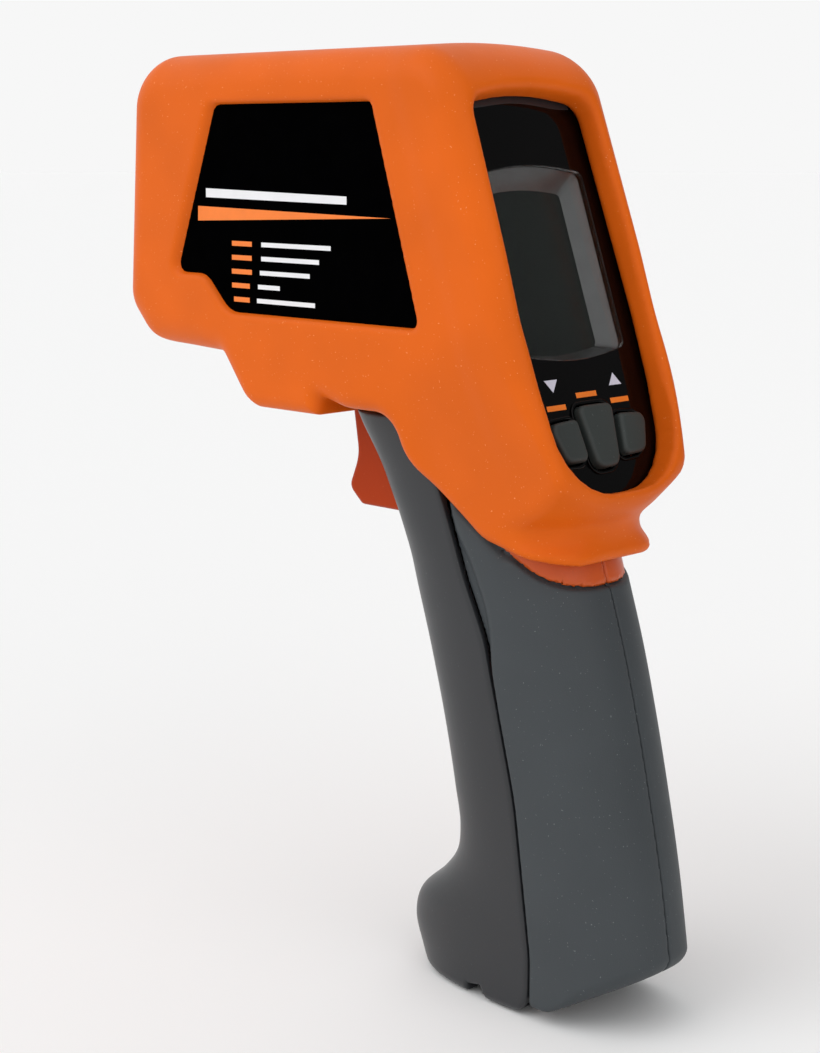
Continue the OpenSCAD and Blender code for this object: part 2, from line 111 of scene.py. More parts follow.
def both_sides(corners):
    """The lower half (y <= 0) of an outline, read in order, and its mirror image."""
    return list(corners) + [(x, -y, r) for x, y, r in reversed(corners) if y != 0]


def polygon_distance(points, x, y):
    """Signed distance to a closed outline, negative inside."""
    best = np.full(np.broadcast(x, y).shape, 1e9)
    inside = np.zeros(best.shape, bool)
    for (ax, ay), (bx, by) in zip(points, np.roll(points, -1, axis=0)):
        ex, ey = bx - ax, by - ay
        length2 = ex * ex + ey * ey
        if length2 < 1e-12:
            continue
        t = np.clip(((x - ax) * ex + (y - ay) * ey) / length2, 0, 1)
        best = np.minimum(best, (x - ax - t * ex) ** 2 + (y - ay - t * ey) ** 2)
        crosses = (ay > y) != (by > y)
        if ey != 0:
            inside ^= crosses & (x < ax + (y - ay) / ey * ex)
    return np.where(inside, -1, 1) * np.sqrt(best)


class Outline:
    """A rounded outline whose distance is looked up in a fine table."""

    STEP = 0.25
    MARGIN = 26.0

    def __init__(self, corners, steps=6):
        self.points = rounded(corners, steps)
        self.low = self.points.min(0) - self.MARGIN
        count = np.ceil((self.points.max(0) + self.MARGIN - self.low) / self.STEP).astype(int) + 1
        gx = self.low[0] + self.STEP * np.arange(count[0])[:, None]
        gy = self.low[1] + self.STEP * np.arange(count[1])[None, :]
        self.table = polygon_distance(self.points, gx, gy).astype(np.float32)

    def __call__(self, x, y):
        fx = np.clip((x - self.low[0]) / self.STEP, 0, self.table.shape[0] - 1.001)
        fy = np.clip((y - self.low[1]) / self.STEP, 0, self.table.shape[1] - 1.001)
        fx, fy = np.broadcast_arrays(fx, fy)
        i, j = fx.astype(np.int32), fy.astype(np.int32)
        s, t = fx - i, fy - j
        table = self.table
        return ((1 - s) * ((1 - t) * table[i, j] + t * table[i, j + 1])
                + s * ((1 - t) * table[i + 1, j] + t * table[i + 1, j + 1]))


def curve(points):
    """A smooth curve through points (z, x), as a function of z."""
    zs, xs = np.array(points, float).T
    fine = np.linspace(zs[0], zs[-1], 400)
    slopes = np.gradient(xs, zs)
    i = np.clip(np.searchsorted(zs, fine) - 1, 0, len(zs) - 2)
    h = zs[i + 1] - zs[i]
    t = (fine - zs[i]) / h
    values = ((2 * t**3 - 3 * t**2 + 1) * xs[i] + (t**3 - 2 * t**2 + t) * h * slopes[i]
              + (-2 * t**3 + 3 * t**2) * xs[i + 1] + (t**3 - t**2) * h * slopes[i + 1])
    return lambda z: np.interp(z, fine, values)


# ---------------------------------------------------------------- distance fields

def step(a, b, value):
    """Rises smoothly from 0 where value is a to 1 where it is b."""
    t = np.clip((value - a) / (b - a), 0, 1)
    return t * t * (3 - 2 * t)


def both(a, b, r):
    """Inside a and b, with the edge where they meet rounded by r."""
    return np.minimum(-r, np.maximum(a, b)) + np.hypot(np.maximum(a + r, 0), np.maximum(b + r, 0))


def without(a, b, r):
    """Inside a but not b, with the edge rounded by r."""
    return both(a, -b, r)


def on_face(x, z):
    """A point's place in the display face's frame: up the slope, and outwards."""
    dx, dz = x - FACE[0], z - FACE[1]
    return dx * UP_SLOPE[0] + dz * UP_SLOPE[1], dx * OUTWARD[0] + dz * OUTWARD[1]


def block(x, y, z, low, high):
    """A box between two corners."""
    inside = [np.maximum(low[i] - value, value - high[i]) for i, value in enumerate((x, y, z))]
    return np.maximum(np.maximum(inside[0], inside[1]), inside[2])


def rod_y(x, y, z, centre, radius, low, high):
    """A round bar along y."""
    return np.maximum(np.hypot(x - centre[0], z - centre[1]) - radius,
                      np.maximum(low - y, y - high))


# ---------------------------------------------------------------- the outer forms

HEAD_SIDE = Outline([
    (-57.4, 97.4, 1.6), (-35, 101.9, 10), (-15.2, 116, 12), (-12.2, 126, 7), (1, 126.2, 8),
    (8.8, 127.9, 0.8), (9.5, 123.8, 0.8), (32, 123.8, 8), (42.5, 135.2, 4), (69, 136, 10),
    (78.2, 144.5, 9), (72.6, 215, 0), (-23.3, 215, 0), (-43.7, 160.5, 150), (-61.6, 107, 7.5),
    (-54.4, 103.2, 3.2)
])
OPENING = Outline(both_sides([(3.9, 0, 70), (0.6, -18.2, 4.5), (-45, -19.7, 60), (-82, -18.9, 15)]))
WINDOW = Outline([
    (-22.8, 144.1, 2), (38.5, 144.1, 7), (46.7, 152.3, 6), (59, 152.3, 2.5), (44.1, 191, 3),
    (-8.6, 191, 2)
])
WINDOW_FLOOR = Outline([
    (-22.2, 144.8, 2), (38.3, 144.8, 7), (46.4, 153, 6), (56.6, 153, 2), (42.3, 190.3, 2.5),
    (-8.2, 190.3, 2)
])
DOOR_SIDE = Outline([
    (-47.5, 0, 6.2), (-9.8, 0, 3), (5, 30, 0), (8, 92, 0), (11.6, 120.6, 1.5), (7.4, 124.9, 2),
    (-14, 124.7, 2.5), (-17.2, 118, 10), (-21.2, 110.2, 3), (-28, 92.5, 40), (-33.9, 80.3, 30),
    (-38.0, 65, 60), (-42.7, 47, 80), (-47.5, 14, 30)
])
GRIP_SIDE = Outline([
    (-47.9, 3, 1.2), (-53, 3, 7), (-80, 17.8, 0), (-75, 92.3, 0), (-51.5, 92.4, 14),
    (-45.5, 94.8, 20), (-34, 102.6, 0), (-22, 110, 0), (-25.0, 101.6, 8), (-29.4, 95, 12),
    (-33.2, 87, 14), (-35.2, 79, 6), (-38.3, 66, 30), (-43.2, 47, 80), (-47.9, 14, 30)
])
SHELL_SIDE = Outline([
    (-47.9, 3, 1.2), (-53, 3, 7), (-80, 17.8, 0), (-80, 112, 0), (-20.8, 112, 0), (-28.4, 92.5, 40),
    (-34.3, 80.3, 30), (-38.4, 65, 60), (-43.1, 47, 80), (-47.9, 14, 30)
])
TRIGGER_SIDE = Outline([
    (-3.5, 101.7, 1.5), (13, 101.7, 1.2), (17.2, 105.4, 2.4), (14, 113, 9), (15.8, 124.5, 4),
    (12.6, 133.5, 3), (9.2, 140, 4), (-1, 140, 2), (-19, 137.4, 0.6), (-19, 133.4, 1.5),
    (-3.2, 131.4, 3)
])
BEZEL = Outline([(-17, 141, 7), (17, 141, 7), (17, 192.5, 12), (-17, 192.5, 12)])
KEY_MODE = Outline(both_sides([(-63, -5.4, 1.6), (-76.3, -3.5, 2.6)]))
KEY_SIDE = Outline([(-65.5, -6.7, 1.2), (-74.5, -5.6, 1.6), (-74.3, -12.4, 2.4), (-66, -15.3, 2)])
LCD_WINDOW = Outline(both_sides([
    (-10.8, 0, 70), (-13.4, -15.8, 2), (-51.5, -15.9, 2), (-54, 0, 60)
]))
GLASS_WINDOW = Outline(both_sides([
    (-16.4, 0, 60), (-18, -11.2, 1), (-49.4, -11.2, 1), (-51, 0, 60)
]))

HANDLE_BACK = curve([(-2, -74.6), (13.8, -72.4), (32.7, -69.4), (49, -66), (63.3, -62.7),
                     (79.5, -58.4), (92, -54.4), (110, -48.5), (126, -43)])
HANDLE_FRONT = curve([(-2, -11.6), (5, -8.4), (12, -6.2), (18, -8.2), (24, -14.7), (30, -19.2),
                      (36, -20.2), (45, -18.7), (58, -15.9), (75, -11.2), (92, -5.9), (98, -4.3),
                      (104, -2.5), (109, -0.2), (113.6, 2.4), (117.7, 5.4), (121.2, 8.2),
                      (124.8, 10.6), (128, 13)])
BACK_DEPTH = 23.4
SLOPE_SHORTENS = 0.965


def handle(x, y, z):
    """The whole handle: a fuller curve in front than behind, following the front and back."""
    middle = HANDLE_BACK(z) + BACK_DEPTH
    front = x > middle
    depth = np.where(front, HANDLE_FRONT(z) - middle, BACK_DEPTH)
    power = np.where(front, 3.1 + 0.5 * step(28, 16, z) + step(92, 110, z), 2.3)
    across = np.abs(x - middle) / depth
    along = np.abs(y) / HANDLE_HALF
    total = np.maximum(across**power + along**power, 1e-9)
    size = total ** (1 / power)
    slope_x = across ** (power - 1) / depth
    slope_y = along ** (power - 1) / HANDLE_HALF
    slope = size / total * np.hypot(slope_x, slope_y)
    return (size - 1) / np.maximum(slope, 0.03) * SLOPE_SHORTENS


# How far the head stands out from the handle's section, by height
NECK_GAP = curve([(90, 5.2), (97, 5.3), (99.5, 5.8), (103, 4.7), (105.5, 5.3), (109, 9.3),
                  (113, 13.8), (117, 17.8), (121, 21.5), (127, 27), (134, 48), (150, 100),
                  (215, 300)])


def head(x, y, z):
    """The head's outer form."""
    _, out = on_face(x, z)
    crown = z - (TOP_Z - 1.7 * (y / HALF_W) ** 2)
    form = both(HEAD_SIDE(x, z), crown, 7 + 4 * step(20, 60, x) + 2.5 * step(5, -15, x))
    neck = step(142, 105, z) * step(0, -24, x)
    lip = np.exp(-(((z - 97.8) / 2.4) ** 2)) * step(-10, -24, x)
    proud = step(-17, -11, out) * step(112, 135, z)
    half = HALF_W - 0.5 + 0.5 * proud - 5.2 * neck + 1.2 * lip
    radius = 2.5 + 4.5 * step(118, 150, z) + 1.2 * step(40, 62, x)
    form = both(form, np.abs(y) - half, radius)
    spread = NECK_GAP(z + 0.5) - NECK_GAP(z - 0.5)
    collar = (handle(x, y, z) - NECK_GAP(z)) / np.hypot(1, spread)
    return both(form, collar, 1.5)


def opening(x, y, z, grow=0.0):
    """The display opening, a little narrower at the bottom of its wall."""
    up, out = on_face(x, z)
    return OPENING(up, y) - grow - 0.1 * out


# ---------------------------------------------------------------- meshes from fields

def surface(field, low, high, cell):
    """Vertices and quads of the field's zero surface, one vertex to a crossed cell."""
    axes = [np.arange(low[i] - 1.5 * cell, high[i] + 2.5 * cell, cell) for i in range(3)]
    values = field(axes[0][:, None, None], axes[1][None, :, None], axes[2][None, None, :])
    values = np.broadcast_to(values, [len(a) for a in axes]).astype(np.float32)
    inside = values < 0
    corners = [(i, j, k) for i in (0, 1) for j in (0, 1) for k in (0, 1)]
    nx, ny, nz = (len(a) - 1 for a in axes)
    count = sum(inside[i:i + nx, j:j + ny, k:k + nz].astype(np.int8) for i, j, k in corners)
    crossed = np.argwhere((count > 0) & (count < 8))
    held = {c: values[tuple((crossed + c).T)] for c in corners}
    total = np.zeros((len(crossed), 3))
    hits = np.zeros(len(crossed))
    for axis in range(3):
        for start in corners:
            if start[axis]:
                continue
            end = tuple(1 if n == axis else start[n] for n in range(3))
            a, b = held[start], held[end]
            cut = (a < 0) != (b < 0)
            t = np.where(cut, a / np.where(cut, a - b, 1), 0)
            point = np.tile(np.array(start, float), (len(crossed), 1))
            point[:, axis] += t
            total += point * cut[:, None]
            hits += cut
    places = crossed + total / hits[:, None]
    points = np.stack([axes[n][0] + cell * places[:, n] for n in range(3)], axis=1)
    number = np.full((nx, ny, nz), -1, np.int64)
    number[tuple(crossed.T)] = np.arange(len(crossed))
    quads = []
    for axis in range(3):
        u, v = (axis + 1) % 3, (axis + 2) % 3
        first = [slice(1, -1)] * 3
        second = [slice(1, -1)] * 3
        first[axis], second[axis] = slice(0, -1), slice(1, None)
        a, b = inside[tuple(first)], inside[tuple(second)]
        edges = np.argwhere(a != b)
        rising = a[tuple(edges.T)]
        base = edges + 1
        base[:, axis] -= 1
        ring = []
        for du, dv in ((-1, -1), (0, -1), (0, 0), (-1, 0)):
            cell_at = base.copy()
            cell_at[:, u] += du
            cell_at[:, v] += dv
            ring.append(number[tuple(cell_at.T)])
        quad = np.stack(ring, axis=1)
        quad[~rising] = quad[~rising][:, ::-1]
        quads.append(quad)
    return points, np.concatenate(quads)


def settle(field, points, cell, rounds=3):
    """Moves the vertices onto the field's zero surface."""
    small = 0.08
    for _ in range(rounds):
        x, y, z = points.T
        here = field(x, y, z)
        slope = np.stack([
            field(x + small, y, z) - field(x - small, y, z),
            field(x, y + small, z) - field(x, y - small, z),
            field(x, y, z + small) - field(x, y, z - small)], axis=1) / (2 * small)
        size = np.maximum((slope**2).sum(1), 0.2)
        move = -here[:, None] * slope / size[:, None]
        length = np.linalg.norm(move, axis=1, keepdims=True)
        points = points + move * np.minimum(1, 0.6 * cell / np.maximum(length, 1e-9))
    return points


def to_metres(points):
    return (np.asarray(points, float) + [SHIFT_X, 0, 0]) * MM


def mesh_object(name, points, faces, material=None, smooth=True):
    """A mesh object in the row frame from points in drawing millimetres."""
    mesh = bpy.data.meshes.new(name)
    mesh.from_pydata(to_metres(points).tolist(), [], [list(map(int, f)) for f in faces])
    mesh.validate()
    if smooth:
        mesh.shade_smooth()
    obj = bpy.data.objects.new(name, mesh)
    bpy.context.scene.collection.objects.link(obj)
    if material:
        mesh.materials.append(material)
    return obj


def keep_mesh(obj):
    """Applies the object's modifiers."""
    depsgraph = bpy.context.evaluated_depsgraph_get()
    mesh = bpy.data.meshes.new_from_object(obj.evaluated_get(depsgraph))
    old = obj.data
    obj.modifiers.clear()
    obj.data = mesh
    bpy.data.meshes.remove(old)
    mesh.name = obj.name
    return obj


def field_object(name, field, low, high, cell, material, body, *nodes, limit=150000):
    """A piece made from a field; it replaces nodes and rides on body."""
    cell = cell * 1
    points, quads = surface(field, low, high, cell)
    points = settle(field, points, cell)
    obj = mesh_object(name, points, quads, material)
    if 2 * len(quads) > limit:
        squeeze = obj.modifiers.new("squeeze", "DECIMATE")
        squeeze.ratio = limit / (2 * len(quads))
        keep_mesh(obj)
        obj.data.shade_smooth()
    if nodes:
        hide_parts(*nodes)
    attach(obj, body)
    return obj


# ---------------------------------------------------------------- flat pieces from outlines

def grown(points, amount):
    """An outline's points moved outwards; the outline is convex or nearly so."""
    points = np.asarray(points, float)
    ahead = np.roll(points, -1, axis=0) - points
    behind = points - np.roll(points, 1, axis=0)
    ahead /= np.maximum(np.linalg.norm(ahead, axis=1, keepdims=True), 1e-9)
    behind /= np.maximum(np.linalg.norm(behind, axis=1, keepdims=True), 1e-9)
    following = np.roll(points, -1, axis=0)
    area = (points[:, 0] * following[:, 1] - following[:, 0] * points[:, 1]).sum()
    normal = (ahead + behind) @ np.array([[0, -1], [1, 0]])
    normal /= np.maximum(np.linalg.norm(normal, axis=1, keepdims=True), 1e-9)
    stretch = 1 / np.maximum(np.abs((normal * (ahead @ np.array([[0, -1], [1, 0]]))).sum(1)), 0.6)
    return points + normal * stretch[:, None] * amount * math.copysign(1, area)


def face_matrix():
    """From the display face's frame (up the slope, left, outwards) to the drawing frame."""
    return Matrix(((UP_SLOPE[0], 0, OUTWARD[0], FACE[0]), (0, 1, 0, 0),
                   (UP_SLOPE[1], 0, OUTWARD[1], FACE[1]), (0, 0, 0, 1)))


def side_matrix(side):
    """From a side's frame (backwards on the left or forwards on the right, up, outwards)."""
    return Matrix(((-side, 0, 0, 0), (0, 0, side, 0), (0, 1, 0, 0), (0, 0, 0, 1)))


def plate(name, loops, matrix, low, high, bevel, material, body, *nodes):
    """A flat piece with round edges: its outer loop and its holes, from low to high."""
    data = bpy.data.curves.new(name, "CURVE")
    data.dimensions = "2D"
    data.fill_mode = "BOTH"
    data.extrude = (high - low) / 2 - bevel
    data.bevel_depth = bevel
    data.bevel_resolution = 2
    data.offset = -bevel
    for loop in loops:
        spline = data.splines.new("POLY")
        spline.points.add(len(loop) - 1)
        for point, place in zip(spline.points, loop):
            point.co = (place[0], place[1], 0, 1)
        spline.use_cyclic_u = True
    shape = bpy.data.objects.new(name + ".curve", data)
    bpy.context.scene.collection.objects.link(shape)
    bpy.context.view_layer.update()
    mesh = bpy.data.meshes.new_from_object(
        shape.evaluated_get(bpy.context.evaluated_depsgraph_get()))
    bpy.data.objects.remove(shape)
    mesh.transform(Matrix.Translation((0, 0, (low + high) / 2)))
    mesh.transform(matrix)
    mesh.transform(Matrix.Translation((SHIFT_X, 0, 0)))
    mesh.transform(Matrix.Scale(MM, 4))
    if matrix.determinant() < 0:
        mesh.flip_normals()
    mesh.name = name
    mesh.materials.clear()
    mesh.materials.append(material)
    obj = bpy.data.objects.new(name, mesh)
    bpy.context.scene.collection.objects.link(obj)
    mesh.shade_smooth()
    mesh.set_sharp_from_angle(angle=math.radians(35))
    if nodes:
        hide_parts(*nodes)
    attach(obj, body)
    return obj


def bar(x0, x1, y0, y1):
    """A thin bar's corners."""
    return np.array([(x0, y0), (x1, y0), (x1, y1), (x0, y1)], float)


# ---------------------------------------------------------------- materials

class Look:
    """A Principled material with a few helpers for procedural detail."""

    def __init__(self, name, colour, rough, **sockets):
        self.material = bpy.data.materials.new(name)
        self.material.use_nodes = True
        self.tree = self.material.node_tree
        self.shader = self.tree.nodes["Principled BSDF"]
        self.place = self.tree.nodes.new("ShaderNodeTexCoord").outputs["Object"]
        self.shader.inputs["Base Color"].default_value = (*colour, 1)
        self.shader.inputs["Roughness"].default_value = rough
        for key, value in sockets.items():
            self.shader.inputs[key.replace("_", " ")].default_value = value
        self.normal = None

    def node(self, kind, **values):
        made = self.tree.nodes.new(kind)
        for key, value in values.items():
            if hasattr(made, key):
                setattr(made, key, value)
            else:
                made.inputs[key.replace("_", " ")].default_value = value
        return made

    def link(self, source, target):
        self.tree.links.new(source, target)

    def noise(self, scale, detail=3.0, rough=0.55):
        made = self.node("ShaderNodeTexNoise", Scale=scale, Detail=detail, Roughness=rough)
        self.link(self.place, made.inputs["Vector"])
        return made.outputs["Fac"]

    def ramp(self, value, *stops):
        made = self.node("ShaderNodeValToRGB")
        ramp = made.color_ramp
        while len(ramp.elements) < len(stops):
            ramp.elements.new(0.5)
        for element, (at, colour) in zip(ramp.elements, stops):
            element.position = at
            element.color = colour if len(colour) == 4 else (*colour, 1)
        self.link(value, made.inputs["Fac"])
        return made.outputs["Color"]

    def mix(self, factor, a, b, kind="MIX"):
        made = self.node("ShaderNodeMix", data_type="RGBA", blend_type=kind)
        for socket, value in ((made.inputs["Factor"], factor), (made.inputs[6], a),
                              (made.inputs[7], b)):
            if isinstance(value, bpy.types.NodeSocket):
                self.link(value, socket)
            else:
                socket.default_value = value
        return made.outputs[2]

    def paint(self, colour):
        self.link(colour, self.shader.inputs["Base Color"])
        return self

    def roughness(self, value, low, high):
        made = self.node("ShaderNodeMapRange")
        made.inputs["To Min"].default_value = low
        made.inputs["To Max"].default_value = high
        self.link(value, made.inputs["Value"])
        self.link(made.outputs["Result"], self.shader.inputs["Roughness"])
        return self

    def bump(self, height, distance, strength=1.0):
        made = self.node("ShaderNodeBump", Strength=strength, Distance=distance)
        self.link(height, made.inputs["Height"])
        if self.normal is not None:
            self.link(self.normal, made.inputs["Normal"])
        self.normal = made.outputs["Normal"]
        self.link(self.normal, self.shader.inputs["Normal"])
        return self


def shade(colour, factor):
    return tuple(min(1.0, c * factor) for c in colour)


def speckled(name, colour, rough, speck, bump, fine=2600.0, **sockets):
    """Moulded rubber or plastic: slow drift in tone, rare light specks and a fine skin."""
    look = Look(name, colour, rough, **sockets)
    drift = look.ramp(look.noise(38, 2), (0.35, shade(colour, 0.95)), (0.65, shade(colour, 1.05)))
    dots = look.ramp(look.noise(2600, 0, 0.5), (0.81, (0, 0, 0)), (0.84, (0.7, 0.7, 0.7)))
    look.paint(look.mix(dots, drift, (*speck, 1)))
    skin = look.noise(fine, 2)
    look.roughness(look.noise(160, 2), rough - 0.04, rough + 0.05)
    look.bump(skin, bump, 0.6)
    look.bump(look.noise(520, 1), bump * 1.3, 0.35)
    return look.material


BOOT = (0.700, 0.118, 0.005)
SHELL = (0.560, 0.088, 0.012)
boot_rubber = speckled("boot_rubber", BOOT, 0.44, (0.85, 0.34, 0.13), 0.00003,
                       Specular_IOR_Level=0.12)
shell_orange = speckled("shell_orange", SHELL, 0.36, shade(SHELL, 1.2), 0.00002,
                        Specular_IOR_Level=0.35)
trigger_plastic = speckled("trigger_plastic", (0.40, 0.040, 0.004), 0.38, (0.5, 0.1, 0.03),
                           0.00002, Specular_IOR_Level=0.1)
grip_rubber = speckled("grip_rubber", (0.045, 0.052, 0.057), 0.55, (0.15, 0.17, 0.17), 0.00004,
                       fine=3400.0, Specular_IOR_Level=0.3)
door_plastic = speckled("door_plastic", (0.0165, 0.0178, 0.0205), 0.36, (0.06, 0.065, 0.07),
                        0.00002, Specular_IOR_Level=0.5)
key_rubber = speckled("key_rubber", (0.030, 0.036, 0.034), 0.5, (0.10, 0.11, 0.11), 0.00003,
                      Specular_IOR_Level=0.35)
black_plastic = speckled("black_plastic", (0.012, 0.012, 0.013), 0.35, (0.03, 0.03, 0.03),
                         0.00002)


def plain(name, colour, rough, variation=0.06, bump=0.00001, scale=240.0, **sockets):
    """A material with a slight drift in tone and gloss and a shallow bump."""
    look = Look(name, colour, rough, **sockets)
    field = look.noise(scale, 3)
    dark, light = shade(colour, 1 - variation), shade(colour, 1 + variation)
    look.paint(look.ramp(field, (0.3, dark), (0.7, light)))
    look.roughness(field, rough * 0.85, min(1.0, rough * 1.2))
    if bump:
        look.bump(look.noise(scale * 6, 2), bump, 0.5)
    return look.material


label_black = plain("label_black", (0.0006, 0.0006, 0.0007), 0.35, 0.2, 0.000004,
                    Specular_IOR_Level=0.0)
lens_black = plain("lens_black", (0.0008, 0.0007, 0.0008), 0.06, 0.3, 0, 60.0,
                   Specular_IOR_Level=0.14)
lens_edge = plain("lens_edge", (0.022, 0.023, 0.025), 0.2, 0.05, 0.000002,
                  Specular_IOR_Level=0.4)
print_white = plain("print_white", (0.78, 0.78, 0.80), 0.4, 0.03)
print_orange = plain("print_orange", (0.86, 0.19, 0.012), 0.4, 0.04)
print_arrow = plain("print_arrow", (0.62, 0.60, 0.70), 0.4, 0.03)
bezel_grey = plain("bezel_grey", (0.048, 0.048, 0.048), 0.2, 0.1, 0.000002,
                   Specular_IOR_Level=0.7)
lcd_glass = plain("lcd_glass", (0.013, 0.0165, 0.0145), 0.16, 0.06, 0, 90.0,
                  Specular_IOR_Level=0.1)
steel = plain("steel", (0.62, 0.62, 0.63), 0.28, 0.05, 0.000006, 900.0, Metallic=1.0)
brass = plain("brass", (0.78, 0.53, 0.22), 0.3, 0.06, 0.000006, 700.0, Metallic=1.0)
board_green = plain("board_green", (0.012, 0.13, 0.045), 0.35, 0.2, 0.00002, 1200.0)
ribbon_grey = plain("ribbon_grey", (0.52, 0.53, 0.55), 0.45, 0.08)
foam = plain("foam", (0.05, 0.05, 0.052), 0.95, 0.4, 0.0001, 1500.0)
diffuser = plain("diffuser", (0.8, 0.82, 0.82), 0.4, 0.03)
ivory_plastic = plain("ivory_plastic", (0.72, 0.66, 0.52), 0.4, 0.05)
mat_rubber = plain("mat_rubber", (0.09, 0.095, 0.1), 0.7, 0.15)
strip_rubber = plain("strip_rubber", (0.34, 0.33, 0.35), 0.7, 0.12)
barrel_black = plain("barrel_black", (0.010, 0.010, 0.011), 0.38, 0.15, 0.00001, 400.0)
ir_optic = plain("ir_optic", (0.09, 0.10, 0.115), 0.09, 0.12, 0.000001, 70.0, Metallic=0.55,
                 Coat_Weight=0.5)
battery_jacket = plain("battery_jacket", (0.025, 0.027, 0.03), 0.3, 0.1, 0.00001, 300.0)
wire_red = plain("wire_red", (0.5, 0.012, 0.01), 0.4, 0.08)
wire_black = plain("wire_black", (0.012, 0.012, 0.012), 0.4, 0.15)
clear_window = plain("clear_window", (0.97, 0.98, 0.98), 0.02, 0.01, 0, 40.0,
                     Transmission_Weight=1.0, IOR=1.2)
MATERIALS = {
    "boot_rubber": boot_rubber, "shell_orange": shell_orange, "grip_rubber": grip_rubber,
    "door_plastic": door_plastic, "steel": steel, "foam": foam,
    "trigger_plastic": trigger_plastic, "black_plastic": black_plastic,
    "ivory_plastic": ivory_plastic, "label_black": label_black, "lens_black": lens_black,
    "bezel_grey": bezel_grey, "lcd_glass": lcd_glass, "diffuser": diffuser,
    "strip_rubber": strip_rubber, "key_rubber": key_rubber, "mat_rubber": mat_rubber,
    "board_green": board_green, "barrel_black": barrel_black, "ir_optic": ir_optic,
    "ribbon_grey": ribbon_grey, "brass": brass, "clear_window": clear_window,
    "battery_jacket": battery_jacket, "wire_red": wire_red, "wire_black": wire_black
}

# Every CAD node takes its slot's material; the ones that are replaced below are hidden.
for part in frame["record"]["subparts"]:
    node = frame["nodes"][part["node"]]
    node.data.materials.clear()
    node.data.materials.append(MATERIALS[part["material_slot"]])

for name in ("front_bezel", "lens_barrel", "lens_ring", "battery", "battery_snap", "laser_window",
             "switch_body", "buzzer", "door_hinge_pin"):
    edge = frame["nodes"][name].modifiers.new("round_edges", "BEVEL")
    edge.width = 0.25 * MM
    edge.segments = 2
    edge.limit_method = "ANGLE"
    edge.angle_limit = math.radians(40)
    edge.use_clamp_overlap = True


# ---------------------------------------------------------------- the boot

def boot(x, y, z):
    """The rubber boot: a skin with the label's, display's, front's, trigger's and door's holes."""
    outer = head(x, y, z)
    up, out = on_face(x, z)
    hole = OPENING(up, y) - 0.12 * (out + 2)
    form = np.maximum(outer, -(outer + BOOT_T))
    collar = both(both(hole - 2.2, -(out + LENS_DEPTH - 0.03), 0.2), outer + 0.3, 0.3)
    form = np.minimum(form, collar)
    form = without(form, np.maximum(hole, -(out + 9)), 2.0 - 1.0 * step(-58, -68, up))
    rim = WINDOW_FLOOR(x, z) * step(25, 22.4, np.abs(y)) + WINDOW(x, z) * step(22.4, 25, np.abs(y))
    form = without(form, np.maximum(rim, 15 - np.abs(y)), 0.55)
    form = without(form, np.maximum(BEZEL(y, z), 60 - x), 0.9)
    form = without(form, block(x, y, z, (-7, -SLOT_HALF, 90), (17.6, SLOT_HALF, 135)), 0.5)
    door_top = block(x, y, z, (-22, -HANDLE_HALF - 0.6, 90), (9, HANDLE_HALF + 0.6, 125.5))
    form = without(form, door_top, 0.4)
    return without(form, np.maximum(handle(x, y, z) - 0.3, z - 127), 0.5)


CELL = 0.8
field_object("soft_boot", boot, (-62.5, -25.5, 96), (79, 25.5, 205), CELL, boot_rubber,
             "instrument", "head_boot", limit=190000)

# ---------------------------------------------------------------- the shells, grips and door

EAR = Outline([(-49.6, 7.6, 0), (-44, 6.8, 0), (-38.2, 7.9, 0), (-43, 17.5, 2), (-49.6, 17.5, 0)])
NOTCH = Outline([(-35.5, -2, 0), (-28.5, -2, 0), (-29.5, 2.6, 0.6), (-34, 3.4, 0.6)])
PARTITION = 2.2
SHELL_GAP = 0.06
EAR_Y = 8.0


def sole(x, z):
    """Distance below the grips' sloping underside."""
    return (3 + 0.55 * np.maximum(0, -53 - x) - z) * 0.876


def shell(side):
    """Half of the hard shell: the head's wall, the handle's band, an ear and the lens's ledge."""
    def form(x, y, z):
        inner = head(x, y, z) + BOOT_T + 0.08
        wall = np.maximum(inner, -(inner + 2.0))
        wall = np.maximum(wall, -np.maximum(handle(x, y, z) + 1.5, z - 128))
        edge = SHELL_SIDE(x, z)
        body = handle(x, y, z)
        skin = both(both(body + 0.5, edge + 0.3, 0.5), z - 112, 0.3)
        under_grip = np.minimum(GRIP_SIDE(x, z) - 0.22,
                                np.maximum(edge - 1, np.maximum(np.abs(z - 91) - 15.5, -38 - x)))
        under_grip = np.maximum(under_grip, -(body + GRIP_T + 0.06))
        skin = without(skin, under_grip, 0.45)
        skin = np.maximum(skin, -np.maximum(body + 4.3, edge + PARTITION))
        skin = np.maximum(skin, np.where(edge > -PARTITION, 3.2 - z, sole(x, z) + GRIP_T + 0.1))
        ear = np.minimum(EAR(x, z), np.hypot(x - DOOR_PIVOT[0], z - DOOR_PIVOT[1]) - SPIGOT_R)
        ear = np.maximum(ear, np.abs(np.abs(y) - EAR_Y) - 1.95)
        up, out = on_face(x, z)
        ledge = np.maximum(-9.4 - out, out + LENS_DEPTH + LENS_T + 0.1)
        ledge = np.maximum(OPENING(up, y) - 3, ledge)
        ledge = np.maximum(np.maximum(ledge, -(OPENING(up, y) + 1.5)), inner)
        all_of_it = np.minimum(np.minimum(wall, skin), np.minimum(ear, ledge))
        all_of_it = np.maximum(all_of_it, -np.maximum(OPENING(up, y) - 1.5, -(out + 7.4)))
        all_of_it = np.maximum(all_of_it, -np.maximum(BEZEL(y, z), 60 - x))
        all_of_it = np.maximum(
            all_of_it, -block(x, y, z, (-20, -SLOT_HALF, 95), (17.6, SLOT_HALF, 142)))
        return both(all_of_it, SHELL_GAP - side * y, 0.15)
    return form


for side, name in ((1, "left"), (-1, "right")):
    low, high = sorted((0, side * 23.5))
    field_object(name + "_half", shell(side), (-75, low, 2), (76, high, 203), 0.8, shell_orange,
                 "instrument", name + "_shell")


